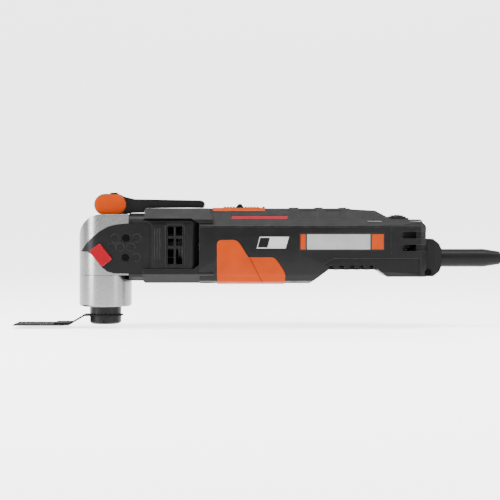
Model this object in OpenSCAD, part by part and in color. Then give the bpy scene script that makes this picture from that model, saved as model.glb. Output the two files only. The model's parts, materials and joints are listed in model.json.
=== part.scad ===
// Oscillating multi tool with a quick-release clamp, a scraper blade and a mains lead.
// Origin: spindle axis at the blade seat of the tool flange. -X is the working end, +X the lead.

/* [Head] */
// Outer radius of the cylindrical head
head_r = 21; // [20.5:0.1:21.5]
// Height of the head's top above the blade seat
head_top = 80.2; // [79:0.1:81]
// Height of the joint between gear head and spindle housing
head_split = 32; // [31:0.5:33]
// Height of the motor axis
motor_z = 55; // [54.5:0.1:55.5]

/* [Tool flange] */
// Radius of the toothed tool flange
flange_r = 12.6; // [12:0.1:13]
// Number of teeth round the flange
flange_teeth = 24; // [16:4:32]

/* [Blade] */
// Thickness of the blade
blade_t = 1; // [0.8:0.1:1.2]
// Width of the blade's working part
blade_w = 32; // [26:1:36]
// Reach of the blade's edge from the spindle axis
blade_reach = 72; // [70:0.5:80]
// Drop of the cranked part below the seat
blade_drop = 6.2; // [6:0.1:8]

/* [Clamp lever] */
// Radius of the lever's cross pin
lever_pin_r = 2.5; // [2:0.1:3]
// Height of the lever's pivot
lever_z = 88.6; // [88.4:0.1:88.8]
// Distance from the pivot to the tip of the lever
lever_reach = 80; // [74:1:82]

/* [Body] */
// Half width of the main body at its widest
body_hw = 29; // [28:0.5:30]
// Height of the main body's top
body_top = 84.9; // [84.5:0.1:85.2]
// Height of the main body's underside
body_bottom = 25.4; // [25:0.1:26]
// Wall thickness of the shells
wall = 2.4; // [2:0.1:2.6]

/* [Motor] */
// Outer radius of the stator core
stator_r = 24.6; // [24:0.1:25]
// Radius of the armature core
armature_r = 14.6; // [14:0.1:15]
// Offset of the eccentric that drives the fork
eccentric = 0.65; // [0.5:0.05:0.7]

/* [Mains lead] */
// Diameter of the mains lead
cord_d = 7.2; // [6.8:0.1:7.4]
// Length of the strain relief
boot_len = 48; // [44:1:50]

/* [Hidden] */
$fn = 72;
eps = 0.01;
gap = 0.05;                 // running clearance of shafts
seam = 0.15;                // half of the visible joint between shells

// Colours
silver = [0.72, 0.72, 0.71];
steel = [0.6, 0.6, 0.62];
black = [0.08, 0.08, 0.085];
dark = [0.13, 0.13, 0.14];
orange = [0.9, 0.38, 0.05];
red = [0.75, 0.07, 0.15];
copper = [0.72, 0.4, 0.2];

// Main stations along the tool
neck_x = 20.5;              // rear of the gear head's round part
front_x1 = 76;              // front housing to main body
body_x1 = 255.6;            // rear face of the main body
gland_x1 = 269;             // rear face of the lead's gland
lead_z = 45.3;              // axis of the lead
groove_z = 71.2;            // joint between the shells and the covers

// ---------- helpers ----------
module box(x0, x1, y0, y1, z0, z1)
    translate([x0, y0, z0]) cube([x1 - x0, y1 - y0, z1 - z0]);

// Cylinder along X from x0 to x1 at height z
module rod_x(x0, x1, r, z = motor_z, y = 0)
    translate([x0, y, z]) rotate([0, 90, 0]) cylinder(h = x1 - x0, r = r);

// Cylinder along Y from y0 to y1
module rod_y(x, z, y0, y1, r)
    translate([x, y0, z]) rotate([-90, 0, 0]) cylinder(h = y1 - y0, r = r);

// Cylinder along Z from z0 to z1
module rod_z(x, y, z0, z1, r)
    translate([x, y, z0]) cylinder(h = z1 - z0, r = r);

// Side view outline in X and Z, given thickness from y0 to y1
module side(points, y0, y1)
    translate([0, y1, 0]) rotate([90, 0, 0]) linear_extrude(height = y1 - y0) polygon(points);

// Section outline in Y and Z, given length from x0 to x1
module section(points, x0, x1)
    translate([x0, 0, 0]) rotate([90, 0, 90]) linear_extrude(height = x1 - x0) polygon(points);

// Plan outline in X and Y, given height from z0 to z1
module plan(points, z0, z1)
    translate([0, 0, z0]) linear_extrude(height = z1 - z0) polygon(points);

// Points of an arc about c, from angle a0 to a1
function arc(c, r, a0, a1, n = 8) =
    [for (i = [0 : n]) let (a = a0 + (a1 - a0) * i / n) c + r * [cos(a), sin(a)]];

// The same outline on both sides of the mid-plane
function mirrored(half) =
    concat(half, [for (i = [len(half) - 1 : -1 : 0]) [-half[i].x, half[i].y]]);

// A ball bearing on axis X or Z: two rings and their balls
module bearing(r_out, r_in, w, balls = 8) {
    ring = (r_out - r_in) * 0.28;
    mid = (r_out + r_in) / 2;
    ball_r = (r_out - r_in) / 2 - ring + 0.25;
    difference() {
        cylinder(h = w, r = r_out);
        translate([0, 0, -1]) cylinder(h = w + 2, r = r_out - ring);
    }
    difference() {
        cylinder(h = w, r = r_in + ring);
        translate([0, 0, -1]) cylinder(h = w + 2, r = r_in);
    }
    for (i = [0 : balls - 1]) rotate([0, 0, i * 360 / balls])
        translate([mid, 0, w / 2]) sphere(r = ball_r - 0.27, $fn = 24);
}

module on_both_sides() {
    children();
    mirror([0, 1, 0]) children();
}

// ---------- head ----------
head_outline = concat(
    [[neck_x, head_split + seam], [neck_x, head_top]],
    arc([-head_r + 20, head_top - 20], 20, 90, 180, 12),
    [[-head_r, head_split + seam]]);

module head_form(grow = 0) {
    cylinder(h = 200, r = head_r + grow, center = true);
    box(0, 60, -head_r - grow, head_r + grow, -100, 100);
}

spindle_r = 8;
module gear_head() color(silver) difference() {
    union() {
        intersection() {
            side(head_outline, -40, 40);
            head_form();
        }
        // neck that carries the front housing and the bearing bracket
        box(neck_x - eps, 33, -17, 17, 36, 74);
        // bosses under the lever's hub
        on_both_sides() intersection() {
            rod_y(6.9, 79.5, -20.9, -14, 3);
            box(0, 12, -30, 0, 70, 79.4);
        }
    }
    // gear room, open to the rear and to the spindle housing
    rod_z(0, 0, head_split - 1, 64, 16.5);
    box(0, 40, -13.5, 13.5, 40, 69.5);
    // seat of the upper spindle bearing
    rod_z(0, 0, 60, 69.5, 11);
    rod_z(0, 0, 60, 90, 6);
    // saddle under the lever's hub
    box(-11.5, neck_x + 1, -12.2, 12.2, 78, 90);
    // screw holes of the side plates
    for (p = plate_screw_at) rod_y(p.x, p.y, -30, 30, 1.3);
    // pockets and guides of the buttons
    on_both_sides() {
        button_shape(-30, -19.8, 0.3);
        rod_y(button_at.x, button_at.y, -30, -17.2, 3);
    }
}

module spindle_housing() color(silver) difference() {
    union() {
        rod_z(0, 0, 8, head_split - seam, head_r);
        translate([0, 0, 6.8]) cylinder(h = 1.2 + eps, r1 = head_r - 1.2, r2 = head_r);
        // spigot that centres the gear head
        rod_z(0, 0, head_split - 1, head_split + 3, 16.45);
    }
    rod_z(0, 0, 0, 60, 9.6);
    rod_z(0, 0, 12, 60, 13);
}

// ---------- side plates ----------
plate_t = 1.4;
plate_outline = concat(
    [[-18.3, 50.7]],
    [[-14, 56.5], [-8.5, 62], [-2, 67], [4, 70.3], [10.3, 72], [22, 73.2]],
    arc([33, 69.1], 4.1, 90, 0, 5),
    arc([33, 37.5], 4.1, 0, -90, 5),
    [[9, 33.4], [3.6, 35], [-0.8, 38.5], [-9, 48.4], [-12.5, 50.5]]);
plate_screw_at = [[18.4, 61.5], [18, 46.1]];
dimple_at = [[9.6, 61.5], [27, 61.5], [7, 54.3], [13.7, 54.3], [22.3, 54.3], [26.4, 46.1]];
button_at = [-1.4, 48];

module side_plate() color(black) difference() {
    intersection() {
        side(plate_outline, -40, -1);
        difference() {
            head_form(plate_t);
            head_form(0);
        }
    }
    for (p = dimple_at) rod_y(p.x, p.y, -30, -head_r - plate_t + 0.5, 3.2);
    for (p = plate_screw_at) {
        rod_y(p.x, p.y, -30, -head_r - plate_t + 0.9, 3.4);
        rod_y(p.x, p.y, -30, 0, 1.6);
    }
    button_shape(-30, 0, 0.25);
}
module side_plate_left() side_plate();
module side_plate_right() mirror([0, 1, 0]) side_plate();

module plate_screws() color(steel) on_both_sides() for (p = plate_screw_at)
    difference() {
        union() {
            rod_y(p.x, p.y, -head_r - plate_t + 0.92, -head_r - plate_t - 0.1 + 0.9 + 0.9, 1.25);
            rod_y(p.x, p.y, -head_r - 0.45, -14, 1.25);
            rod_y(p.x, p.y, -head_r - plate_t + 0.1, -head_r - plate_t + 0.9, 3);
        }
        rod_y(p.x, p.y, -30, -head_r - plate_t + 0.7, 1.2);
    }

// Rounded key, 16 x 10.4, with its long side sloping down to the rear
module button_shape(y0, y1, grow = 0)
    translate([button_at.x, 0, button_at.y]) rotate([0, 51, 0]) {
        box(-8 - grow, 8 + grow, y0, y1, -3.2 - grow, 3.2 + grow);
        box(-6 - grow, 6 + grow, y0, y1, -5.2 - grow, 5.2 + grow);
        for (sx = [-1, 1], sz = [-1, 1]) rod_y(sx * 6, sz * 3.2, y0, y1, 2 + grow);
    }

module button() color(red) difference() {
    union() {
        button_shape(-head_r - 3.4, -head_r - plate_t + 0.9);
        rod_y(button_at.x, button_at.y, -head_r - 1, -18.9, 2.95);
    }
    rod_y(button_at.x, button_at.y, -20.9, -10, 2.1);
}
module button_left() button();
module button_right() mirror([0, 1, 0]) button();

module button_springs() color(steel) on_both_sides() difference() {
    rod_y(button_at.x, button_at.y, -19.25, -17.2, 1.9);
    rod_y(button_at.x, button_at.y, -20, -16, 1.3);
}

// ---------- clamp lever ----------
hub_hw = 10;
// Oval of the hub, grown by r about its two centres
function hub_oval(r) = concat(
    arc([0.4, lever_z - 0.6], r, 90, 270, 10), arc([9.3, lever_z - 0.6], r, -90, 90, 10));
arm_outline = concat(
    [[9, 96], [9, 79.6], [15, 80], [20.4, 81.45], [31.2, 81.7], [32.9, 85.3], [66, 85.6]],
    arc([lever_reach - 3.3, 88.2], 3.2, -60, 90, 6),
    [[60, 91.6], [24, 92.4]]);

module clamp_lever() color(black) difference() {
    union() {
        side(hub_oval(8.6), -hub_hw, hub_hw);
        side(arm_outline, -8, 8);
        box(4.5, 10, -8, 8, 95.8, 97.6);
    }
    // room for the eye of the rod over the whole swing, and the pin's hole
    box(-12, 8.5, -5, 5, 70, 100);
    rod_y(0, lever_z, -30, 30, lever_pin_r);
}

module lever_inserts() color(orange) on_both_sides() difference() {
    side(hub_oval(8.05), -hub_hw - 1.6, -hub_hw);
    rod_y(0, lever_z, -30, 30, 2);
}

module lever_pin() color(steel) rod_y(0, lever_z, -hub_hw, hub_hw, lever_pin_r);

clamp_drop = 2.5;           // travel of the rod when the lever opens
// Draw rod: its eye carries the lever's pin, its foot carries the washer
module clamp_rod() color(steel) difference() {
    union() {
        rod_z(0, 0, -blade_t - 4, 84, 3);
        intersection() {
            hull() {
                rod_y(0, lever_z, -4.6, 4.6, 5);
                rod_y(0, lever_z + clamp_drop, -4.6, 4.6, 5);
            }
            box(-5, 5, -5, 5, 80, 97);
        }
    }
    // slot round the lever pin, long enough for the drop of the rod
    rod_y(0, lever_z, -9, 9, lever_pin_r + 0.35);
    rod_y(0, lever_z + clamp_drop, -9, 9, lever_pin_r + 0.35);
    box(-lever_pin_r - 0.35, lever_pin_r + 0.35, -9, 9, lever_z, lever_z + clamp_drop);
}

// Scraper blade: mount with a hole ring and crank, on which the working plate is welded
crank_x = [-17.2, -28];
module blade() color(dark) difference() {
    union() {
        rod_z(0, 0, -blade_t, 0, 14.2);
        box(crank_x[0], 0, -10, 10, -blade_t, 0);
        side([[crank_x[0] + 0.3, 0], [crank_x[1] + 0.3, -blade_drop], [crank_x[1], -blade_drop - blade_t],
            [crank_x[1] + 1.4, -blade_drop - blade_t], [crank_x[0] + 1.2, -blade_t]], -12, 12);
        box(-40, crank_x[1] + 0.3, -12, 12, -blade_drop - blade_t - eps, -blade_drop);
        plan([[crank_x[1], -12], [-33, -blade_w / 2], [-blade_reach, -blade_w / 2],
            [-blade_reach, blade_w / 2], [-33, blade_w / 2], [crank_x[1], 12]],
            -blade_drop - 2 * blade_t, -blade_drop - blade_t);
    }
    rod_z(0, 0, -3, 2, 6.2);
    for (a = [0 : 45 : 315]) rotate([0, 0, a]) rod_z(8.5, 0, -3, 2, 1.5);
}

module clamp_washer() color(dark) difference() {
    union() {
        rod_z(0, 0, -6, -blade_t - eps, flange_r);
        translate([0, 0, -7.4]) cylinder(h = 1.4 + eps, r1 = flange_r - 1.6, r2 = flange_r);
    }
    rod_z(0, 0, -9, 2, 3);
    translate([0, 0, -7.41]) box(-1.1, 1.1, -20, -10.4, 0, 3);
    for (a = [0 : 45 : 315]) rotate([0, 0, a]) rod_z(8.5, 0, -4, 0, 1.5);
}

module clamp_spring() color(steel) for (i = [0 : 4]) translate([0, 0, 27 + i * 2.2])
    difference() {
        cylinder(h = 1.6, r = 5.6);
        translate([0, 0, -1]) cylinder(h = 4, r = 3.2);
    }

// ---------- output ----------
module tool_flange() color(steel) difference() {
    union() {
        rod_z(0, 0, 0, 6.4, flange_r);
        for (a = [0 : 45 : 315]) rotate([0, 0, a]) rod_z(8.5, 0, -2.6, eps, 1.2);
    }
    rod_z(0, 0, -4, 9, spindle_r - 2);
    // teeth: notches round the lower rim
    for (i = [0 : flange_teeth - 1]) rotate([0, 0, (i + 0.5) * 360 / flange_teeth])
        translate([flange_r, 0, 0]) rotate([45, 0, 0]) cube([2.4, 1.8, 1.8], center = true);
}

module spindle() color(steel) difference() {
    union() {
        rod_z(0, 0, 6.4, 69, 5.95);
        rod_z(0, 0, 6.4, 61, spindle_r - gap);
        rod_z(0, 0, 0.6, 6.4 + eps, spindle_r - 2);
    }
    rod_z(0, 0, 0, 90, 3.1);
    rod_z(0, 0, 26, 45, 5.8);
}

module drive_fork() color(steel) difference() {
    union() {
        rod_z(0, 0, 46, 60, 13);
        for (s = [-1, 1]) box(2, 31, s * 10.4 - 2, s * 10.4 + 2, 48, 60);
    }
    rod_z(0, 0, 40, 70, spindle_r - gap);
    box(9.5, 40, -8.4, 8.4, 40, 70);
}

module spindle_bearings() color(steel) {
    translate([0, 0, 14]) bearing(12.95, spindle_r, 8);
    translate([0, 0, 62.5]) bearing(10.95, 6, 6);
}

module spindle_seal() color(black) difference() {
    rod_z(0, 0, 8.2, 11.8, 9.55);
    rod_z(0, 0, 8, 12, spindle_r + 0.05);
}

// ---------- motor ----------
module eccentric_bearing() color(steel)
    translate([24.6, 0, motor_z + eccentric]) rotate([0, 90, 0]) difference() {
        cylinder(h = 5, r = 6.6);
        translate([0, 0, -1]) cylinder(h = 9, r = 2.6);
    }

module armature_shaft() color(steel) {
    rod_x(23.6, 31, 2.6, motor_z + eccentric);
    rod_x(31, 50, 3.95);
    rod_x(50, 150, 4);
    rod_x(150, 165, 3.45);
}

module armature_core() color(steel) difference() {
    rod_x(84, 126, armature_r);
    for (i = [0 : 11]) translate([0, 0, motor_z]) rotate([i * 30, 0, 0])
        box(80, 130, -0.9, 0.9, 12.4, 20);
    rod_x(80, 130, 4);
}

module armature_windings() color(copper) for (x = [75.5, 126]) difference() {
    rod_x(x, x + 8.5, 12.6);
    rod_x(x - 1, x + 10, 4);
}

module commutator() color(copper) difference() {
    rod_x(139, 151, 10);
    for (i = [0 : 11]) translate([0, 0, motor_z]) rotate([i * 30, 0, 0])
        box(138, 152, -0.2, 0.2, 9.4, 12);
    rod_x(138, 152, 4);
}

module cooling_fan() color(dark) {
    difference() {
        union() {
            rod_x(50.5, 61, 8);
            rod_x(59.5, 61, 18.5);
            for (i = [0 : 11]) translate([0, 0, motor_z]) rotate([i * 30, 0, 0])
                box(51.5, 60, -0.6, 0.6, 7, 18.5);
        }
        rod_x(40, 70, 4);
    }
}

module motor_bearings() color(steel) {
    translate([35.5, 0, motor_z]) rotate([0, 90, 0]) bearing(10.95, 4, 7);
    translate([156, 0, motor_z]) rotate([0, 90, 0]) bearing(9.45, 3.5, 7);
}

module bearing_bracket() color(silver) difference() {
    rod_x(33.2, 44, 20.4);
    rod_x(35.4, 46, 11);
    rod_x(30, 46, 8);
}

module fan_shroud() color(dark) difference() {
    rod_x(61.4, 66, 20.6);
    rod_x(61, 67, 15.5);
}

module stator_core() color(steel) difference() {
    rod_x(84, 126, stator_r);
    rod_x(80, 130, armature_r + 0.6);
    for (s = [-1, 1]) box(80, 130, -12.5, 12.5, motor_z + s * 16.8 - 3.4, motor_z + s * 16.8 + 3.4);
}

module field_coils() color(copper) for (s = [-1, 1]) {
    box(78, 132, -12.3, 12.3, motor_z + s * 17.2 - 1.9, motor_z + s * 17.2 + 1.9);
    for (x = [76.8, 129]) difference() {
        rod_x(x, x + 4.2, 21);
        rod_x(x - 1, x + 6, 15.2);
        box(x - 2, x + 8, -40, 40, s > 0 ? 0 : motor_z - 2, s > 0 ? motor_z + 2 : 200);
    }
}

module brush_holders() color(dark) on_both_sides() difference() {
    box(140.5, 150.5, -24.5, -12, motor_z - 4.5, motor_z + 4.5);
    box(142, 149, -23, -11, motor_z - 3, motor_z + 3);
}
module carbon_brushes() color(dark) on_both_sides()
    box(142.1, 148.9, -18, -10.35, motor_z - 2.9, motor_z + 2.9);
module brush_springs() color(copper) on_both_sides() difference() {
    rod_y(145.5, motor_z, -22.9, -18.1, 2.4);
    rod_y(145.5, motor_z, -24, -17, 1.7);
}

// ---------- front housing ----------
front_hw = 23.6;
front_section = mirrored(concat(
    [[0, 27.6], [16, 27.6]], arc([front_hw - 7, 36], 7, -80, 0, 4),
    arc([front_hw - 9, 72], 9, 0, 90, 6), [[0, 81.2]]));
function inset(points, c, k) = [for (p = points) c + k * (p - c)];

module front_housing() color(black) difference() {
    union() {
        front_body();
        on_both_sides() {
            // upright ribs behind the side plate
            for (x = [41, 43, 45]) box(x, x + 0.8, -front_hw - 0.35, -front_hw + 1, 45, 69);
            // rim round the vent
            side(inset(vent_outline, vent_mid, 1.09), -front_hw - 0.5, -front_hw + 1);
        }
    }
    // room for neck, bracket and fan
    rod_x(10, 100, 20.7);
    box(10, 33.05, -17.05, 17.05, 35.95, 74.05);
    rod_z(0, 0, 0, head_split + seam, head_r + seam);
    // recess of the side plates
    on_both_sides() {
        side(concat([[10, 33.1], [10, 73.6]], arc([33, 69.3], 4.3, 90, 0, 4),
            arc([33, 37.4], 4.3, 0, -90, 4)), -40, -head_r + 0.02);
        // moat round the plate
        side(concat([[10, 33.1], [10, 74.8]], arc([33, 68.8], 6, 90, 0, 6),
            [[39, 33.1]]), -40, -head_r - 1.2);
        side(vent_outline, -40, -10);
    }
}

vent_x0 = 50.2;
vent_x1 = 64.2;
vent_z0 = 39.6;
vent_z1 = 71.9;
vent_mid = [(vent_x0 + vent_x1) / 2, (vent_z0 + vent_z1) / 2];
vent_round = 2.6;
vent_outline = concat(
    arc([vent_x1 - vent_round, vent_z1 - vent_round], vent_round, 0, 90, 4),
    arc([vent_x0 + vent_round, vent_z1 - vent_round], vent_round, 90, 180, 4),
    arc([vent_x0 + vent_round, vent_z0 + vent_round], vent_round, 180, 270, 4),
    arc([vent_x1 - vent_round, vent_z0 + vent_round], vent_round, 270, 360, 4));

module front_body() {
    intersection() {
        section(front_section, neck_x + 0.2, front_x1);
        plan([[0, -front_hw], [70.5, -front_hw], [front_x1, -front_hw + 3.2],
            [front_x1, front_hw - 3.2], [70.5, front_hw], [0, front_hw]], 0, 200);
    }
}

module vent_grilles() color(dark) on_both_sides() {
    y0 = -front_hw + 0.6;
    difference() {
        side(inset(vent_outline, vent_mid, 0.998), y0, y0 + 1.4);
        for (z = [[vent_z0 + 1.2, 53.4], [55.2, 61.2], [63, vent_z1 - 1.2]],
            x = [[vent_x0 + 1.2, 56.2], [57.8, vent_x1 - 1.2]])
            box(x[0], x[1], -40, 0, z[0], z[1]);
    }
}

// ---------- rails ----------
rail_top_outline = [[32.3, 76.8], [33.6, 85], [83.8, 85], [87.3, 76], [87.3, 73.4],
    [75.3, 73.4], [70.3, 76.8]];
rail_low_outline = [[31.6, 27.6], [31.6, 36.9], [71.5, 36.9], [75.7, 39.9], [87.7, 39.9],
    [87.7, 25.8], [33, 25.8]];
rail_hw = 26.6;

module upper_rail() color(black) difference() {
    intersection() {
        side(rail_top_outline, -40, 40);
        section(mirrored([[0, 60], [rail_hw, 60], [rail_hw, 76], [17.6, 85.3], [0, 85.3]]), 0, 100);
    }
    section(inset(front_section, [0, motor_z], 1.003), 0, front_x1 + 0.3);
    intersection() {
        body_form();
        box(front_x1 + 0.2, 100, -40, 40, 0, 100);
    }
}

module lower_rail() color(black) difference() {
    intersection() {
        side(rail_low_outline, -40, 40);
        section(mirrored([[0, 25.8], [17, 25.8], [rail_hw, 33], [rail_hw, 50], [0, 50]]), 0, 100);
    }
    section(inset(front_section, [0, motor_z], 1.003), 0, front_x1 + 0.3);
    intersection() {
        body_form();
        box(front_x1 + 0.2, 100, -40, 40, 0, 100);
    }
}

// ---------- main body ----------
body_half = [[0, body_bottom], [15, body_bottom], [21.5, 27.6], [26, 33], [28.4, 42], [body_hw, 52],
    [28.4, 63], [27, groove_z], [15, body_top], [0, body_top]];
body_section = mirrored(body_half);
body_side = concat(
    [[front_x1 + 0.3, body_bottom], [163.3, body_bottom], [177.8, 36.4], [216.8, 36.4],
    [224.4, 30.8], [261.9, 30.8], [267, 34.6], [gland_x1, 39], [gland_x1, 52.7], [267, 56.8],
    [261.9, 60.7], [body_x1, 60.7], [body_x1, 69.8], [254.8, 71.8], [252.4, 73.6], [251.2, 75.8],
    [249.5, 76.2], [228, 76.2], [215.2, 83.2], [197, 84.2], [194.5, body_top],
    [front_x1 + 0.3, body_top]]);
plan_half = [[front_x1 + 0.3, 27], [92, body_hw], [150, body_hw], [190, 27], [236, 26.2], [251, 24.4]];
body_plan = mirrored_plan(concat(plan_half,
    [[body_x1, 19], [body_x1 + 0.01, 12.5], [264, 12.5], [gland_x1, 9.5]]));
function mirrored_plan(half) =
    concat(half, [for (i = [len(half) - 1 : -1 : 0]) [half[i].x, -half[i].y]]);

module body_form() intersection() {
    section(body_section, 0, 300);
    side(body_side, -40, 40);
    plan(body_plan, 0, 200);
}

k_in = 1 - wall / body_hw;
inner_side = [[front_x1 + 0.3 - eps, body_bottom + wall], [162.3, body_bottom + wall],
    [176.8, 36.4 + wall], [217.8, 36.4 + wall], [225.4, 30.8 + wall], [body_x1 - wall, 30.8 + wall],
    [body_x1 - wall, 69], [249.6, 73.8], [227.4, 73.8], [214, 81], [193, 82.4],
    [front_x1 + 0.3 - eps, 82.4]];
module body_room() intersection() {
    section(inset(body_section, [0, motor_z], k_in), 0, 300);
    side(inner_side, -40, 40);
    plan(mirrored_plan([for (p = concat(plan_half, [[body_x1 - wall, 18.6]])) [p.x, p.y - wall]]), 0, 200);
}

// What lies less than the given depth under the flank's skin, from x0 to x1 and z0 to z1
module skin(x0, x1, z0, z1, depth) difference() {
    box(x0, x1, -40, -5, z0, z1);
    intersection() {
        section(inset(body_section, [0, motor_z], 1 - depth / body_hw), 0, 300);
        plan(mirrored_plan([for (p = concat(plan_half, [[body_x1, 19]])) [p.x, p.y - depth]]), 0, 200);
    }
}

// Housing screws: place along X and Z, depth of the head's seat, and 1 with the head on the right
screw_at = [[79.5, 31, 20, 1], [150, 31.5, 20, 1], [186, 42.6, 20, 1], [238, 35, 20, 1], [257.3, 34, 9, -1]];
screw_r = 1.65;
screw_head_r = 3.2;
boss_r = 2.9;
cover_x = [195.6, 209.1];           // front edge of the rear cover, from its top to its foot
cover_foot = 74.8;
slot_z = [[51.1, 56.3], [61.1, 66.6]];
slot_x = [236.8, 247];
// Region under the style line, set back from the flank
step_outline = [[174, 20], [171, 36], [175.5, 41.8], [182, 45.4], [250, 45.4], [250, 20]];

module shell_form() intersection() {
    body_form();
    box(0, 300, -50, -seam / 2, 0, groove_z - 0.02);
}

// Half of the main housing on the side s: -1 is the left, 1 the right, drawn as the left
module shell_half(s) difference() {
    union() {
        difference() {
            shell_form();
            body_room();
        }
        intersection() {
            shell_form();
            union() {
                for (p = screw_at) {
                    rod_y(p.x, p.y, -40, 0, boss_r);
                    box(p.x - 0.9, p.x + 0.9, 0.5 - p.z, 0, body_bottom, p.y);
                }
                // screen behind the cooling slots, clear of the dial
                difference() {
                    box(236, body_x1, -16.4, -15, 36, groove_z);
                    rod_y(dial_x, dial_z, -40, 0, dial_r + 1);
                }
            }
        }
    }
    grip_form(0.05);
    // groove under the covers' edge, upright joint of the rear end, step along the rear grip
    skin(front_x1, 251, 69.9, 70.5, 0.6);
    skin(226.8, 227.4, 49, 69.9, 0.4);
    intersection() {
        skin(front_x1, body_x1, 0, 60, 1.1);
        side(step_outline, -40, 0);
    }
    // cooling slots at the rear: a long shallow recess, open in its middle
    for (z = slot_z) {
        mid = (z[0] + z[1]) / 2;
        skin(slot_x[0], body_x1 + 1, z[0], z[1], 1.3);
        intersection() {
            skin(slot_x[0] - 5, slot_x[0] + 1, z[0], z[1], 1.3);
            rod_y(slot_x[0], mid, -40, 0, (z[1] - z[0]) / 2);
        }
        box(slot_x[0], slot_x[1], -40, -17, z[0], z[1]);
    }
    // scallops under the rear grip
    for (x = [179.8, 188.2, 196.4, 204, 211.8]) rod_y(x, 37.6, -40, -19, 2.4);
    // passage of the lead
    rod_x(240, 300, 5.6, lead_z);
    rod_x(258, 266, 8, lead_z);
    // plates and badges sit in shallow pockets
    side(plate_pocket, -40, -body_hw + 2.6);
    side(badge_outline, -40, -body_hw + 1);
    for (p = screw_at) {
        rod_y(p.x, p.y, p[3] == s ? -40 : 1 - p.z - gap, 0, screw_r + gap);
        if (p[3] == s) rod_y(p.x, p.y, -40, -p.z, screw_head_r + gap);
    }
}
module left_housing() color(dark) shell_half(-1);
module right_housing() color(dark) mirror([0, 1, 0]) shell_half(1);

module housing_screws() color(steel) for (p = screw_at) scale([1, p[3], 1]) difference() {
    union() {
        rod_y(p.x, p.y, 1 - p.z, p.z + eps, screw_r);
        rod_y(p.x, p.y, p.z, p.z + 1.3, screw_head_r);
    }
    rod_y(p.x, p.y, p.z + 0.5, p.z + 2, 1.3);
}

module top_cover() color(dark) difference() {
    union() {
        intersection() {
            body_form();
            side([[front_x1 + 0.3, groove_z], [260, groove_z], [260, cover_foot - seam],
                [cover_x[1] - seam, cover_foot - seam], [cover_x[0] - seam, 83.8], [cover_x[0] - seam, 90],
                [front_x1 + 0.3, 90]], -40, 40);
        }
        // thumb ribs
        for (x = [[147.6, 154.8], [168.2, 174], [187.8, 192.6]])
            box(x[0], x[1], -13, 13, body_top - 1, body_top + 0.7);
    }
    body_room();
    // opening of the slider
    box(88, 126.5, -5.5, 5.5, 70, 90);
    // room of the dial
    box(dial_x - dial_r - 1, dial_x + dial_r + 1, -4.6, 4.6, 40, 90);
    // plain fields and thumb panels on the sloping flanks
    on_both_sides() {
        skin(100.4, 147.2, 75.6, 79.8, 0.4);
        skin(155.4, 169.6, 76.4, 83.6, 0.4);
        skin(175.6, 189.2, 76.4, 83.6, 0.4);
    }
}

module rear_cover() color(dark) difference() {
    intersection() {
        body_form();
        side([[cover_x[1], cover_foot], [cover_x[0], 83.8], [cover_x[0], 90], [260, 90],
            [260, cover_foot]], -40, 40);
    }
    body_room();
    box(dial_x - 12.6, dial_x + 12.6, -4.6, 4.6, 60, 100);
}

// ---------- grips, plates ----------
grip_outline = [[90.3, 24.9], [90.3, 57], [91.2, 59.1], [93.3, 60], [103.6, 60], [106.4, 59.1],
    [108.8, 56.4], [114.9, 46.4], [133.1, 46.4], [135.6, 45.6], [137.6, 43.6], [143, 35.6],
    [144.1, 31.6], [143.6, 24.9]];
module grip_form(grow = 0) intersection() {
    difference() {
        union() {
            section(inset(body_section, [0, motor_z], 1.02 + grow / 50), 80, 150);
        }
        section(inset(body_section, [0, motor_z], 0.962 - grow / 50), 70, 160);
    }
    side(inset(grip_outline, [115, 40], 1 + grow / 60), -50, -0.6);
}
module grip_left() color(orange) grip_form();
module grip_right() color(orange) mirror([0, 1, 0]) grip_form();

plate_pocket = [[154.9, 51.6], [222.2, 51.6], [222.2, 65.4], [154.9, 65.4]];
badge_outline = [[121.4, 53.3], [144.1, 53.3], [146.8, 62.5], [123.8, 62.5]];

// A thin skin that follows the flank inside the given outline
module flank_skin(outline, depth) intersection() {
    side(outline, -40, -1);
    body_form();
    box(0, 300, -40, -body_hw + depth, 0, 100);
}
module name_plates() color(silver) on_both_sides() difference() {
    flank_skin(plate_pocket, 6);
    box(100, 240, -body_hw + 2.6, 0, 0, 100);
}
module badges() color(silver) on_both_sides() flank_skin(badge_outline, 1);

// ---------- switch ----------
module switch_bezel() color(orange) difference() {
    union() {
        // saddle over the top of the cover
        intersection() {
            section(inset(body_section, [0, motor_z], 1.017), 86.6, 128.2);
            box(80, 130, -20, 20, 82.6, 90);
        }
        box(126, 128.2, -6, 6, body_top, 86.4);
        box(88.1, 126.4, -5.4, 5.4, 82.6, body_top + eps);
    }
    difference() {
        body_form();
        box(88.1, 126.4, -5.4, 5.4, 80, 90);
    }
    box(88.9, 125.6, -4.6, 4.6, 80, 90);
}

module switch_slider() color(black) {
    box(94.6, 124.4, -4.3, 4.3, 82.7, 85.9);
    box(92.8, 125.2, -4.3, 4.3, 82.7, 84);
    for (x = [95.4 : 2.4 : 122]) box(x, x + 1.2, -4.3, 4.3, 85.8, 86.5);
    side([[104.8, 85.8], [111.2, 85.8], [109.4, 88.6], [107, 88.6]], -4.3, 4.3);
    // link rod to the switch unit
    box(118, 172, -3, 3, 80.4, 81.6);
    box(118, 122, -3, 3, 81.5, 82.8);
    box(168, 172, -2, 2, 70.5, 81);
}

module switch_unit() color(black) {
    box(167, 184, -9, 9, 57, 70.2);
    for (y = [-6, 0, 6]) box(171, 179, y - 1, y + 1, 53.5, 57 + eps);
}

// ---------- dial and board ----------
dial_x = 234.2;
dial_z = 64.7;
dial_r = 15.4;
module speed_dial() color(black) difference() {
    rod_y(dial_x, dial_z, -4, 4, dial_r);
    for (i = [0 : 35]) translate([dial_x, 0, dial_z]) rotate([0, i * 10, 0])
        translate([dial_r, 0, 0]) rotate([0, 45, 0]) cube([1.3, 12, 1.3], center = true);
    rod_y(dial_x, dial_z, -6, 6, 2.05);
}

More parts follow.
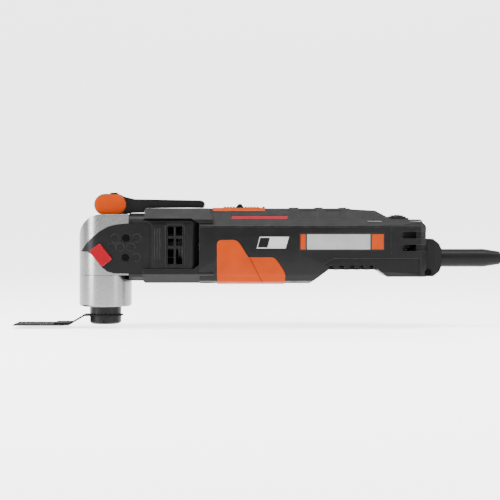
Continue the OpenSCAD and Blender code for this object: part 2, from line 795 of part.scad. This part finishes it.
module speed_board() color([0.1, 0.35, 0.15]) {
    box(190, 228, -18, 18, 46, 47.6);
    box(193, 205, -14, -4, 47.5, 56);
    box(208, 218, 4, 13, 47.5, 58);
    // potentiometer of the dial with its stub shaft
    box(227, 239, 5, 11, 47.5, 72);
    box(226, 240, 5, 11, 46, 47.6);
    rod_y(dial_x, dial_z, -5, 5.01, 2);
}

// ---------- mains lead ----------
module cord_clamp() color(dark) difference() {
    box(243, 249, -14, 14, 36, 42);
    rod_x(240, 250, cord_d / 2 + 0.01, lead_z);
}

boot_r = 7.2;
module cord_boot() color(black) difference() {
    union() {
        rod_x(258.2, 265.8, 7.9, lead_z);
        rod_x(250, gland_x1 + 0.01, 5.5, lead_z);
        rod_x(gland_x1, gland_x1 + boot_len - 13, boot_r, lead_z);
        translate([gland_x1 + boot_len - 13 - eps, 0, lead_z]) rotate([0, 90, 0])
            cylinder(h = 13 + eps, r1 = boot_r, r2 = 5.2);
    }
    rod_x(262, 330, cord_d / 2, lead_z);
}

// Route of the lead where it isn't folded up: out of the clamp, along the boot, down onto the hank
cord_route = [
    [262, 0, 45.3], [280, 0, 45.3], [298, 0, 45.3], [314, 0, 45.3], [324, 0, 45], [333, 0, 42.6],
    [341, 0, 37.9], [348, 0, 31.9], [355, 0, 25.9], [363, 0, 20.6], [372, 0.6, 16.8], [381, 2, 12.8],
    [390, 4, 7.8]];
// Short stretch from the hank back into the plug
plug_route = [[384, 36.6, 15.6], [393.2, 37.6, 17], [402, 36.6, 17.3], [412, 33.7, 18.3],
    [422, 29.8, 19.6], [432, 26.5, 20.8], [442, 25, 21.3], [452, 25, 21.3]];

// One ring of the tube: centre p, direction d, in the plane square to d
function ring(p, d, r, n) =
    let (u = d / norm(d), side_v = [0, 1, 0], up = cross(u, side_v))
    [for (i = [0 : n - 1]) let (a = 360 * i / n) p + r * (cos(a) * side_v + sin(a) * up)];

module tube(route, r, n = 10) {
    last = len(route) - 1;
    rings = [for (i = [0 : last]) ring(route[i], route[min(i + 1, last)] - route[max(i - 1, 0)], r, n)];
    points = [for (one = rings) for (p = one) p];
    walls = [for (i = [0 : last - 1], j = [0 : n - 1])
        let (a = i * n + j, b = i * n + (j + 1) % n) [a, a + n, b + n, b]];
    ends = [[for (j = [0 : n - 1]) j], [for (j = [n - 1 : -1 : 0]) last * n + j]];
    polyhedron(points = points, faces = concat(walls, ends), convexity = 6);
}
module cord() color(black) {
    tube(cord_route, cord_d / 2);
    tube(plug_route, cord_d / 2);
}

// Hank: turns beside and on each other, with round ends
hank_x0 = 352;
hank_len = 156;
hank_turns = 3;             // across, and the same number of layers
hank_fold = 23.2;           // radius of the innermost fold
hank_hw = hank_fold + (hank_turns - 0.5) * cord_d;
hank_floor = -8.2;
hank_top = hank_floor + hank_turns * cord_d;
module cord_hank() color(black) translate([0, 0, hank_floor])
    linear_extrude(height = hank_top - hank_floor) union() {
        translate([hank_x0 + hank_hw, 0]) circle(r = hank_hw);
        translate([hank_x0 + hank_len - hank_hw, 0]) circle(r = hank_hw);
        translate([hank_x0 + hank_hw, -hank_hw]) square([hank_len - 2 * hank_hw, 2 * hank_hw]);
    }

// Tie round both runs of the hank
tie_x = 450;
tie_w = 12;
module hank_tie() color(dark) difference() {
    box(tie_x, tie_x + tie_w, -hank_hw - 1, hank_hw + 1, hank_floor + 0.05, hank_top + 1);
    box(tie_x - 1, tie_x + tie_w + 1, -hank_hw, hank_hw, hank_floor - 1, hank_top);
}

// Flat two-pin plug lying on the tied hank, its pins away from the tool
plug_x = 492;
plug_y = 25;
plug_w = 35.3;
plug_t = 13.7;
plug_z = hank_top + 1.05 + plug_t / 2;
pin_r = 2.4;
pin_root_r = 2;
pin_len = 19;
pin_pitch = 18.6;
plug_half = [[0, 13], [-3, plug_w / 2], [-14, plug_w / 2], [-32, 9]];
module plug() color(black) difference() {
    union() {
        plan([for (k = [1, -1], i = [0 : 3]) let (p = plug_half[k > 0 ? i : 3 - i])
            [plug_x + p.x, plug_y + k * p.y]], plug_z - plug_t / 2, plug_z + plug_t / 2);
        rod_x(plug_x - 50, plug_x - 30, 5.6, plug_z, plug_y);
    }
    for (s = [-1, 1]) rod_x(plug_x - 12, plug_x + 1, pin_root_r, plug_z, plug_y + s * pin_pitch / 2);
    rod_x(plug_x - 60, plug_x - 36, cord_d / 2 + 0.3, plug_z, plug_y);
}
module plug_pins() color(steel) for (s = [-1, 1]) {
    rod_x(plug_x, plug_x + pin_len, pin_r, plug_z, plug_y + s * pin_pitch / 2);
    rod_x(plug_x - 12, plug_x + eps, pin_root_r, plug_z, plug_y + s * pin_pitch / 2);
}

gear_head();
spindle_housing();
side_plate_left();
side_plate_right();
plate_screws();
button_left();
button_right();
button_springs();
clamp_lever();
lever_inserts();
lever_pin();
clamp_rod();
clamp_washer();
clamp_spring();
blade();
tool_flange();
spindle();
drive_fork();
spindle_bearings();
spindle_seal();
eccentric_bearing();
armature_shaft();
armature_core();
armature_windings();
commutator();
cooling_fan();
motor_bearings();
bearing_bracket();
fan_shroud();
stator_core();
field_coils();
brush_holders();
carbon_brushes();
brush_springs();
front_housing();
upper_rail();
lower_rail();
vent_grilles();
left_housing();
right_housing();
top_cover();
rear_cover();
housing_screws();
grip_left();
grip_right();
switch_bezel();
switch_slider();
switch_unit();
speed_dial();
speed_board();
name_plates();
badges();
cord_clamp();
cord_boot();
cord();
cord_hank();
hank_tie();
plug();
plug_pins();
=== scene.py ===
import json
import math

import bmesh
import bpy
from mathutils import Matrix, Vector


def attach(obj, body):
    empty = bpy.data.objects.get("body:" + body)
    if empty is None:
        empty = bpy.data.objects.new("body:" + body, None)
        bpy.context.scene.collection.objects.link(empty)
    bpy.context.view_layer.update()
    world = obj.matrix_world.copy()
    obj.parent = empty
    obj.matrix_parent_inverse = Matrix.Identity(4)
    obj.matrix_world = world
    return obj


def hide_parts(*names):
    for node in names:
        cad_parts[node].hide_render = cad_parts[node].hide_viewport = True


# Looks of the oscillating multi tool: camera, materials, rounded shells, mains lead, floor and lights.
# Places are in metres. The rounding widths, the lever inserts and the mains lead are in mm, scaled by MM.
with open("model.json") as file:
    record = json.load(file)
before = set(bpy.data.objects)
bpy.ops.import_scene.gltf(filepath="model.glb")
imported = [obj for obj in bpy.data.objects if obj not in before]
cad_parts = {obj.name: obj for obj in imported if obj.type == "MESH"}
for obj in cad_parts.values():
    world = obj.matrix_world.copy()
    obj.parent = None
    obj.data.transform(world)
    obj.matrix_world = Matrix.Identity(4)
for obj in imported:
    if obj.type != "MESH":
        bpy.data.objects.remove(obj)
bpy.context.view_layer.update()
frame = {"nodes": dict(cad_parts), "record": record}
MM = 0.001
scene = bpy.context.scene

# ---------------------------------------------------------------- camera
camera_data = bpy.data.cameras.new("camera")
camera = bpy.data.objects.new("camera", camera_data)
scene.collection.objects.link(camera)
camera.location = (0.1162, -1.067, 0.0725)
camera.rotation_euler = (math.radians(90), 0, 0)
camera_data.sensor_width = 36
camera_data.lens = 95.4
camera_data.shift_y = -0.052
camera_data.clip_start = 0.01
scene.camera = camera


# ---------------------------------------------------------------- materials
class Shader:
    """A Principled material, and short names for the nodes that it needs."""

    def __init__(self, name, **sockets):
        self.material = bpy.data.materials.new(name)
        self.material.use_nodes = True
        self.nodes = self.material.node_tree.nodes
        self.links = self.material.node_tree.links
        self.bsdf = self.nodes["Principled BSDF"]
        for key, value in sockets.items():
            socket = self.bsdf.inputs[key.replace("_", " ")]
            socket.default_value = (*value, 1) if isinstance(value, tuple) else value
        self.place = self.nodes.new("ShaderNodeTexCoord").outputs["Object"]
        self.soft_normal = None

    def noise(self, scale, detail, stretch=None):
        """Noise over the piece, scale in waves per metre; stretch scales it along X, Y and Z."""
        node = self.nodes.new("ShaderNodeTexNoise")
        node.inputs["Scale"].default_value = scale
        node.inputs["Detail"].default_value = detail
        place = self.place
        if stretch:
            mapping = self.nodes.new("ShaderNodeMapping")
            mapping.inputs["Scale"].default_value = stretch
            self.links.new(place, mapping.inputs["Vector"])
            place = mapping.outputs["Vector"]
        self.links.new(place, node.inputs["Vector"])
        return node.outputs["Fac"]

    def ramp(self, fac, low, high, start=0.3, end=0.7):
        """A colour between low and high, or a value where they are numbers."""
        node = self.nodes.new("ShaderNodeMapRange" if isinstance(low, float) else "ShaderNodeValToRGB")
        if isinstance(low, float):
            for key, value in (("From Min", start), ("From Max", end), ("To Min", low), ("To Max", high)):
                node.inputs[key].default_value = value
            self.links.new(fac, node.inputs["Value"])
            return node.outputs["Result"]
        first, last = node.color_ramp.elements
        first.position, last.position = start, end
        first.color, last.color = (*low, 1), (*high, 1)
        self.links.new(fac, node.inputs["Fac"])
        return node.outputs["Color"]

    def math(self, operation, *values):
        """The result of a Math node, on numbers and on other nodes' outputs."""
        node = self.nodes.new("ShaderNodeMath")
        node.operation = operation
        for socket, value in zip(node.inputs, values):
            if isinstance(value, (int, float)):
                socket.default_value = value
            else:
                self.links.new(value, socket)
        return node.outputs[0]

    def axis(self, name):
        """The place along X, Y or Z of the piece, in metres."""
        node = self.nodes.new("ShaderNodeSeparateXYZ")
        self.links.new(self.place, node.inputs[0])
        return node.outputs[name]

    def slanted(self, slope):
        """X measured along the piece, less slope times Z: constant along a slanted upright line."""
        return self.math("SUBTRACT", self.axis("X"), self.math("MULTIPLY", self.axis("Z"), slope))

    def between(self, value, low, high, soft=0.00008):
        """1 where the value lies between low and high, 0 outside, with a narrow soft edge."""
        return self.math("MULTIPLY", self.ramp(value, 0.0, 1.0, low - soft, low + soft),
                         self.ramp(value, 1.0, 0.0, high - soft, high + soft))

    def mix(self, fac, first, second):
        """The first colour where the factor is 0, and the second where it is 1."""
        node = self.nodes.new("ShaderNodeMix")
        node.data_type = "RGBA"
        for key, value in (("Factor", fac), ("A", first), ("B", second)):
            if isinstance(value, tuple):
                node.inputs[key].default_value = (*value, 1)
            else:
                self.links.new(value, node.inputs[key])
        return node.outputs["Result"]

    def edges(self, radius):
        """Rounds the shading of sharp edges over a radius in metres, and gives where they are, 0 to 1."""
        bevel = self.nodes.new("ShaderNodeBevel")
        bevel.samples = 6
        bevel.inputs["Radius"].default_value = radius
        self.soft_normal = bevel.outputs[0]
        across = self.nodes.new("ShaderNodeVectorMath")
        across.operation = "DOT_PRODUCT"
        self.links.new(bevel.outputs[0], across.inputs[0])
        self.links.new(self.nodes.new("ShaderNodeNewGeometry").outputs["True Normal"], across.inputs[1])
        return self.ramp(across.outputs["Value"], 1.0, 0.0, 0.86, 0.99)

    def bump(self, height, strength, distance):
        """Relief from a height of 0 to 1, on top of the rounded edges where there are any."""
        node = self.nodes.new("ShaderNodeBump")
        node.inputs["Strength"].default_value = strength
        node.inputs["Distance"].default_value = distance
        self.links.new(height, node.inputs["Height"])
        if self.soft_normal:
            self.links.new(self.soft_normal, node.inputs["Normal"])
        self.links.new(node.outputs[0], self.bsdf.inputs["Normal"])

    def colour(self, output):
        self.links.new(output, self.bsdf.inputs["Base Color"])

    def present_colour(self):
        """What drives the colour so far, for a mark to be laid over it."""
        return self.bsdf.inputs["Base Color"].links[0].from_socket

    def roughness(self, output):
        self.links.new(output, self.bsdf.inputs["Roughness"])


# Each material's two colours are the ends of its mottling
body_colours = (0.0018, 0.0018, 0.0019), (0.003, 0.003, 0.0031)
rubber_colours = (0.0018, 0.0018, 0.0019), (0.003, 0.003, 0.0032)
# paler colours of the rounded edges: painted highlights, as lit edges look
edge_highlight_grey = (0.028, 0.028, 0.029)
orange_colours = (0.225, 0.0225, 0.0), (0.265, 0.028, 0.0001)
orange_edge_highlight = (0.42, 0.075, 0.006)


def moulded(name, low, high, rough, grain=2600, depth=0.00003, specular=0.42, edge_highlight_and_wear=None, edge=0.0005):
    """Moulded plastic or rubber: a fine grain, a faint mottling of colour and gloss, and a painted edge
    highlight.

    Grain and mottling are in waves per metre, depth and edge in metres.
    """
    mottling = 60
    s = Shader(name, Roughness=rough, Specular_IOR_Level=specular)
    colour = s.ramp(s.noise(mottling, 4), low, high)
    if edge_highlight_and_wear:
        # painted highlight: the rounded edges drawn paler, in patches like wear
        highlight_and_wear_mask = s.math("MULTIPLY", s.edges(edge), s.ramp(s.noise(170, 3), 0.35, 1.0))
        colour = s.mix(highlight_and_wear_mask, colour, edge_highlight_and_wear)
    s.colour(colour)
    s.roughness(s.ramp(s.noise(mottling * 2.3, 3), rough - 0.05, rough + 0.06))
    s.bump(s.noise(grain, 2), 0.35, depth)
    return s


def metal(name, low, high, rough, grain=900, stretch=None, depth=0.00002, metallic=1.0, specular=0.5):
    """Cast, turned or ground metal: the stretch draws the grain out into marks of the tool."""
    s = Shader(name, Metallic=metallic, Roughness=rough, Specular_IOR_Level=specular)
    # painted highlight: the edges drawn 35 per cent brighter than the metal
    metal_edge_highlight = tuple(1.35 * v for v in high)
    s.colour(s.mix(s.edges(0.0004), s.ramp(s.noise(45, 5), low, high), metal_edge_highlight))
    s.roughness(s.ramp(s.noise(grain * 0.4, 3, stretch), rough - 0.06, rough + 0.08))
    s.bump(s.noise(grain, 3, stretch), 0.3, depth)
    return s


def stripe_cover():
    """Body plastic painted a lighter grey as lit from above, with one plain red bar on each sloping flank."""
    # painted light: the cover's grey is about three times the body plastic's, as faces lit from above look
    s = moulded("lit_cover_plastic", (0.0065, 0.0065, 0.0068), (0.009, 0.009, 0.0094), 0.56, specular=0.14,
                edge_highlight_and_wear=(0.05, 0.05, 0.05))
    red_ink = (0.17, 0.0004, 0.005)
    lean = 0.3
    bar = s.math("MULTIPLY", s.between(s.slanted(lean), 0.0785, 0.1225),
                 s.between(s.axis("Z"), 0.0765, 0.0789))
    flank = s.math("GREATER_THAN", s.math("ABSOLUTE", s.axis("Y")), 0.0165)
    s.colour(s.mix(s.math("MULTIPLY", bar, flank), s.present_colour(), red_ink))
    return s


def printed_plate():
    """A plain silver field between two orange end blocks, on black."""
    s = Shader("printed_plate", Roughness=0.34, Specular_IOR_Level=0.12)
    ground = (0.008, 0.008, 0.009)
    x = s.axis("X")
    field = s.ramp(s.noise(90, 4), (0.17, 0.17, 0.173), (0.21, 0.21, 0.213))
    orange_ink = s.ramp(s.noise(120, 3), (0.23, 0.023, 0.0), (0.26, 0.027, 0.0001))
    inside = s.between(s.axis("Z"), 0.05255, 0.06445)
    colour = s.mix(s.math("MULTIPLY", inside, s.between(x, 0.1609, 0.2107)), ground, field)
    ends = s.math("ADD", s.between(x, 0.1559, 0.1598), s.between(x, 0.2118, 0.2212))
    s.colour(s.mix(s.math("MULTIPLY", inside, ends), colour, orange_ink))
    s.roughness(s.ramp(s.noise(400, 3), 0.27, 0.4))
    s.bump(s.noise(1900, 2), 0.25, 0.00001)
    return s


def printed_badge():
    """A slanted badge: its front third dark within a pale line, the rest pale."""
    s = Shader("printed_badge", Roughness=0.36, Specular_IOR_Level=0.12)
    ground = (0.003, 0.003, 0.0032)
    lean = 0.2725                       # shift along X for each metre up, as the badge's ends
    pale = s.ramp(s.noise(150, 3), (0.26, 0.26, 0.26), (0.31, 0.31, 0.31))
    inner = s.math("MULTIPLY", s.between(s.slanted(lean), 0.10745, 0.1151),
                   s.between(s.axis("Z"), 0.05405, 0.06175))
    s.colour(s.mix(inner, pale, ground))
    s.bump(s.noise(1900, 2), 0.2, 0.00001)
    return s


def housing_plastic():
    """Body plastic, with painted shade: near black inside the cooling slots at the rear."""
    s = moulded("housing_plastic", *body_colours, 0.44, specular=0.13, edge_highlight_and_wear=edge_highlight_grey)
    shade, strength = (0.0, 0.0, 0.0), 0.93
    z = s.axis("Z")
    slots = s.math("ADD", s.between(z, 0.0515, 0.0559), s.between(z, 0.0615, 0.0662))
    # painted shade: the slot bands drawn 93 per cent towards black
    inside = s.math("MULTIPLY", slots, s.between(s.axis("X"), 0.2372, 0.2562))
    s.colour(s.mix(s.math("MULTIPLY", inside, strength), s.present_colour(), shade))
    return s


def grip_rubber():
    """Orange rubber with the seam of its two mouldings, which slopes down to the rear."""
    s = moulded("grip_rubber", *orange_colours, 0.42, grain=1800, specular=0.06, edge_highlight_and_wear=orange_edge_highlight,
                edge=0.0009)
    seam_colour, strength, lean = (0.03, 0.002, 0.0002), 0.85, -0.5025
    below_step = s.ramp(s.axis("Z"), 1.0, 0.0, 0.0455, 0.0458)
    seam = s.math("MULTIPLY", s.between(s.slanted(lean), 0.1389, 0.1395), below_step)
    s.colour(s.mix(s.math("MULTIPLY", seam, strength), s.present_colour(), seam_colour))
    return s


shell = moulded("shell_plastic", *body_colours, 0.32, specular=0.13, edge_highlight_and_wear=edge_highlight_grey).material
dark_shell = moulded("body_plastic", *body_colours, 0.34, specular=0.13, edge_highlight_and_wear=edge_highlight_grey).material
housing = housing_plastic().material
cover = stripe_cover().material
grip = grip_rubber().material
orange = moulded("orange_plastic", *orange_colours, 0.36, grain=1800, specular=0.06, edge_highlight_and_wear=orange_edge_highlight,
                 edge=0.0007).material
red = moulded("red_plastic", (0.15, 0.0002, 0.004), (0.19, 0.0003, 0.006), 0.22, grain=1500, depth=0.00001,
              specular=0.1, edge_highlight_and_wear=(0.45, 0.03, 0.06), edge=0.0009).material
rubber = moulded("black_rubber", *rubber_colours, 0.4, grain=1500, specular=0.12, edge_highlight_and_wear=edge_highlight_grey).material
# painted shade: screw heads near black and dull, for the shade of the holes they sit in
black = moulded("blackened", (0.0004, 0.0004, 0.0004), (0.0009, 0.0009, 0.0009), 0.35, specular=0.05).material
wheel = moulded("wheel_plastic", (0.012, 0.012, 0.0125), (0.018, 0.018, 0.0185), 0.4, specular=0.2,
                edge_highlight_and_wear=(0.06, 0.06, 0.06)).material
casting = metal("silver_casting", (0.17, 0.17, 0.17), (0.2, 0.2, 0.2), 0.24, grain=2600,
                depth=0.000006).material
steel = metal("steel", (0.26, 0.26, 0.265), (0.36, 0.36, 0.365), 0.3, stretch=(1, 1, 6)).material
dark_steel = metal("dark_steel", (0.003, 0.003, 0.0032), (0.006, 0.006, 0.0064), 0.36, stretch=(8, 1, 8),
                   metallic=0.03, specular=0.12).material
blade_steel = metal("blade_steel", (0.006, 0.006, 0.0063), (0.011, 0.011, 0.0115), 0.72, stretch=(8, 1, 1),
                    metallic=0.0, specular=0.04).material
laminated = metal("laminated_steel", (0.2, 0.2, 0.21), (0.3, 0.3, 0.31), 0.45, grain=1300,
                  stretch=(9, 1, 1)).material
copper = metal("copper", (0.55, 0.2, 0.08), (0.68, 0.28, 0.12), 0.35, grain=1600, stretch=(6, 1, 1)).material
board = moulded("board_green", (0.006, 0.07, 0.022), (0.01, 0.11, 0.035), 0.35).material
carbon = moulded("carbon", (0.015, 0.015, 0.015), (0.03, 0.03, 0.031), 0.6).material
plate = printed_plate().material
badge = printed_badge().material
# The record's material slots, and the nodes that look different from the rest of their slot
by_slot = {
    "silver_casting": casting, "black_shell": shell, "dark_shell": dark_shell, "orange_rubber": orange,
    "red_plastic": red, "steel": steel, "dark_steel": dark_steel, "black_rubber": rubber, "copper": copper,
    "carbon": carbon, "board_green": board, "plate_silver": plate, "core_steel": laminated}
by_node = {"top_cover": cover, "badges": badge, "plate_screws": black, "housing_screws": black,
           "tool_flange": dark_steel, "blade": blade_steel, "rear_cover": cover, "clamp_washer": dark_steel,
           "left_housing": housing, "right_housing": housing, "grip_left": grip, "grip_right": grip,
           "speed_dial": wheel}


# ---------------------------------------------------------------- mesh helpers
node_body = {n: b for b, ns in frame["record"]["behaviour"]["bodies"].items() for n in ns}
node_slot = {row["node"]: row["material_slot"] for row in frame["record"]["subparts"]}


def paint(obj, material):
    """Gives an object one material, in place of what it has."""
    obj.data.materials.clear()
    obj.data.materials.append(material)


def look_of(node):
    """The material of a CAD node."""
    return by_node.get(node, by_slot[node_slot[node]])


def stands_for(obj, node):
    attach(obj, node_body[node])
    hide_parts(node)


def refined(node, width):
    """A copy of a CAD node's shape with its outer edges rounded over a width in mm."""
    sharp_angle = math.radians(30)
    mesh = frame["nodes"][node].data.copy()
    bm = bmesh.new()
    bm.from_mesh(mesh)
    bmesh.ops.remove_doubles(bm, verts=bm.verts, dist=2e-6)
    bmesh.ops.dissolve_limit(bm, angle_limit=math.radians(0.6), verts=bm.verts, edges=bm.edges)
    # only outer edges are rounded, so pockets and bores keep their room
    weight = bm.edges.layers.float.new("bevel_weight_edge")
    for edge in bm.edges:
        sharp = edge.is_manifold and edge.is_convex and edge.calc_face_angle(0) > sharp_angle
        edge[weight] = 1.0 if sharp else 0.0
    bm.to_mesh(mesh)
    bm.free()
    for name in [a.name for a in mesh.attributes if a.name.startswith("custom_normal")]:
        mesh.attributes.remove(mesh.attributes[name])
    mesh.shade_smooth()
    mesh.set_sharp_from_angle(angle=sharp_angle)
    obj = bpy.data.objects.new("shaped_" + node, mesh)
    scene.collection.objects.link(obj)
    bevel = obj.modifiers.new("bevel", "BEVEL")
    bevel.width = width * MM
    bevel.segments = 3
    bevel.limit_method = "WEIGHT"
    bevel.harden_normals = True
    bevel.miter_outer = "MITER_ARC"
    weighted = obj.modifiers.new("weighted", "WEIGHTED_NORMAL")
    weighted.keep_sharp = True
    paint(obj, look_of(node))
    stands_for(obj, node)


for name, obj in frame["nodes"].items():
    paint(obj, look_of(name))

# width of the rounded edges, in mm
rounding = {
    "left_housing": 0.8, "right_housing": 0.8, "front_housing": 0.7,
    "upper_rail": 0.7, "lower_rail": 0.7, "button_left": 0.7, "button_right": 0.7, "clamp_lever": 0.5,
    "gear_head": 0.8, "spindle_housing": 0.6, "grip_left": 0.7, "grip_right": 0.7, "switch_bezel": 0.5,
    "clamp_washer": 0.4, "plug": 1.2, "cord_boot": 0.4}
for node, width in rounding.items():
    refined(node, width)


# ---------------------------------------------------------------- lever inserts
hub_ends = (0.4, 9.3)           # centres of the oval hub's two round ends, along X
hub_z = 88.0


def pad_ring(radius, y):
    """An oval about the lever's hub, as one closed row of points in mm."""
    steps = 24
    points = []
    for centre, first in zip(hub_ends, (90, -90)):
        for i in range(steps + 1):
            a = math.radians(first + 180 * i / steps)
            points.append((centre + radius * math.cos(a), y, hub_z + radius * math.sin(a)))
    return points


def lever_insert(side):
    """Closed pad with a soft crown and a shallow step round its edge."""
    # radius and height above the tool's middle plane
    rings = [(8.05, 10.0), (8.05, 10.9), (7.9, 11.15), (7.6, 11.3), (7.2, 11.34), (6.9, 11.32), (6.6, 11.45),
             (5.6, 11.55), (3.5, 11.6), (1.2, 11.6)]
    bm = bmesh.new()
    rows = [[bm.verts.new((x * MM, side * y * MM, z * MM)) for x, y, z in pad_ring(r, y)] for r, y in rings]
    count = len(rows[0])
    for low, high in zip(rows, rows[1:]):
        for i in range(count):
            bm.faces.new((low[i], low[(i + 1) % count], high[(i + 1) % count], high[i]))
    bm.faces.new(rows[0])
    bm.faces.new(rows[-1])
    bmesh.ops.recalc_face_normals(bm, faces=bm.faces)
    mesh = bpy.data.meshes.new("lever_insert")
    bm.to_mesh(mesh)
    bm.free()
    mesh.shade_smooth()
    mesh.set_sharp_from_angle(angle=math.radians(50))
    obj = bpy.data.objects.new("insert_left" if side < 0 else "insert_right", mesh)
    scene.collection.objects.link(obj)
    paint(obj, orange)
    stands_for(obj, "lever_inserts")


lever_insert(-1)
lever_insert(1)


# ---------------------------------------------------------------- mains lead
cord_d = 7.2
lead_out = [
    (262, 0, 45.3), (280, 0, 45.3), (298, 0, 45.3), (314, 0, 45.3), (324, 0, 45),
    (333, 0, 42.6), (341, 0, 37.9), (348, 0, 31.9), (355, 0, 25.9), (363, 0, 20.6), (372, 0.6, 16.8),
    (381, 2, 12.8), (390, 4, 7.8)]
lead_into_hank = [(399, 6.6, 3), (409, 10.6, -1), (420, 15.8, -3.7), (431, 20.4, -4.6), (441, 22.8, -4.6)]
lead_to_plug = [(402, 36.6, 17.3), (412, 33.7, 18.3), (422, 29.8, 19.6), (432, 26.5, 20.8), (442, 25, 21.3),
                (452, 25, 21.3)]
hank_x0, hank_len, hank_fold, hank_floor = 352, 156, 23.2, -8.2


def hank_turns():
    """Points of the folded lead. Each turn moves over to the place that the next turn has just left."""
    outer = hank_fold + 2.5 * cord_d
    near, far = hank_x0 + outer, hank_x0 + hank_len - outer
    places = [(0, 0), (1, 0), (2, 0), (2, 1), (1, 1), (0, 1), (0, 2), (1, 2), (2, 2)]
    starts = [0.68, 0.68, 0.51, 0.34, 0.34, 0.17, 0, 0]
    points = []
    for turn, start in enumerate(starts):
        last = turn == len(starts) - 1
        (c0, l0), (c1, l1) = places[turn:turn + 2]
        for k in range(3 if turn == 0 else 0, 19 if last else 18):
            t, rise = (
                u * u * (3 - 2 * u) for u in (min(max((k / 18 - a) / 0.3, 0), 1) for a in (start, 0.7)))
            r = hank_fold + (c0 + (c1 - c0) * t) * cord_d
            z = hank_floor + (l0 + (l1 - l0) * t + 0.5 + (rise if last else 0)) * cord_d
            if k < 3:                                   # out along the right-hand run
                points.append((near + (far - near) * k / 3, r, z))
            elif k < 10:                                # round the far fold
                a = math.radians(30 * (k - 3))
                points.append((far + r * math.sin(a), r * math.cos(a), z))
            elif k < 12:                                # back along the left-hand run
                points.append((far + (near - far) * (k - 9) / 3, -r, z))
            else:                                       # round the near fold
                a = math.radians(30 * (k - 12))
                points.append((near - r * math.sin(a), -r * math.cos(a), z))
    return points


def smooth_line(points, name):
    """A curve object through the points, as one poly spline of a Catmull-Rom line."""
    step = 3
    fine = []
    for i in range(len(points) - 1):
        p0, p1 = Vector(points[max(i - 1, 0)]), Vector(points[i])
        p2, p3 = Vector(points[i + 1]), Vector(points[min(i + 2, len(points) - 1)])
        d01, d12, d23 = (max((b - a).length, 1e-6) ** 0.5 for a, b in ((p0, p1), (p1, p2), (p2, p3)))
        m1 = p2 - p1 if i == 0 else ((p1 - p0) / d01 - (p2 - p0) / (d01 + d12) + (p2 - p1) / d12) * d12
        m2 = p2 - p1 if i == len(points) - 2 else (
            (p2 - p1) / d12 - (p3 - p1) / (d12 + d23) + (p3 - p2) / d23) * d12
        steps = max(2, round((p2 - p1).length / step))
        for k in range(steps):
            t = k / steps
            h = (2 * t**3 - 3 * t**2 + 1, t**3 - 2 * t**2 + t, -2 * t**3 + 3 * t**2, t**3 - t**2)
            fine.append(h[0] * p1 + h[1] * m1 + h[2] * p2 + h[3] * m2)
    fine.append(Vector(points[-1]))
    curve = bpy.data.curves.new(name, "CURVE")
    curve.dimensions = "3D"
    spline = curve.splines.new("POLY")
    spline.points.add(len(fine) - 1)
    for point, co in zip(spline.points, fine):
        point.co = (*(co * MM), 1)
    spline.use_smooth = True
    obj = bpy.data.objects.new(name, curve)
    scene.collection.objects.link(obj)
    return obj


lead = smooth_line(lead_out + lead_into_hank + hank_turns() + lead_to_plug, "mains_lead")
lead.data.bevel_depth = cord_d / 2 * MM
lead.data.bevel_resolution = 5
lead.data.use_fill_caps = True
lead.data.materials.append(rubber)
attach(lead, "housing")
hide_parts("cord", "cord_hank")


# ---------------------------------------------------------------- floor, backdrop and light
def cyclorama():
    """A floor that curves up into a wall far behind the tool."""
    z0 = -0.0107                # below the blade at every pose
    front, back, radius, height, half = -9.0, 3.2, 1.2, 4.5, 9.0
    line = [(front, z0), (back - radius, z0)]
    line += [(back - radius + radius * math.sin(a), z0 + radius * (1 - math.cos(a)))
             for a in (math.radians(d) for d in range(6, 91, 6))]
    line.append((back, height))
    bm = bmesh.new()
    rows = [[bm.verts.new((x, y, z)) for x in (-half, half)] for y, z in line]
    for a, b in zip(rows, rows[1:]):
        bm.faces.new((a[0], a[1], b[1], b[0]))
    mesh = bpy.data.meshes.new("backdrop")
    bm.to_mesh(mesh)
    bm.free()
    mesh.shade_smooth()
    obj = bpy.data.objects.new("backdrop", mesh)
    scene.collection.objects.link(obj)
    pale = Shader("backdrop_paper", Roughness=0.9, Specular_IOR_Level=0.1)
    pale.colour(pale.ramp(pale.noise(2, 2), (0.87, 0.87, 0.87), (0.9, 0.9, 0.9)))
    pale.bsdf.inputs["Emission Color"].default_value = (1, 1, 1, 1)
    pale.bsdf.inputs["Emission Strength"].default_value = 2.4
    obj.data.materials.append(pale.material)


def softbox(name, place, target, size, power):
    """A rectangular lamp that faces a point, with its size in metres and its power in watts."""
    data = bpy.data.lights.new(name, "AREA")
    data.shape = "RECTANGLE"
    data.size, data.size_y = size
    data.energy = power
    obj = bpy.data.objects.new(name, data)
    scene.collection.objects.link(obj)
    obj.location = place
    obj.rotation_euler = (Vector(target) - Vector(place)).to_track_quat("-Z", "Y").to_euler()


cyclorama()
world = bpy.data.worlds.new("studio")
scene.world = world
world.use_nodes = True
world.node_tree.nodes["Background"].inputs["Color"].default_value = (1, 1, 1, 1)
world.node_tree.nodes["Background"].inputs["Strength"].default_value = 0.3
middle = (0.1, 0, 0.05)
softbox("key_top", (0.12, -0.25, 1.0), middle, (1.4, 0.5), 27)
softbox("strip_left", (-0.75, -0.45, 0.2), (0, 0, 0.05), (0.3, 0.9), 16)
softbox("strip_right", (0.95, -0.75, 0.35), middle, (0.3, 0.9), 6)
softbox("front_high", (0.1, -1.3, 0.9), middle, (1.2, 0.35), 7)
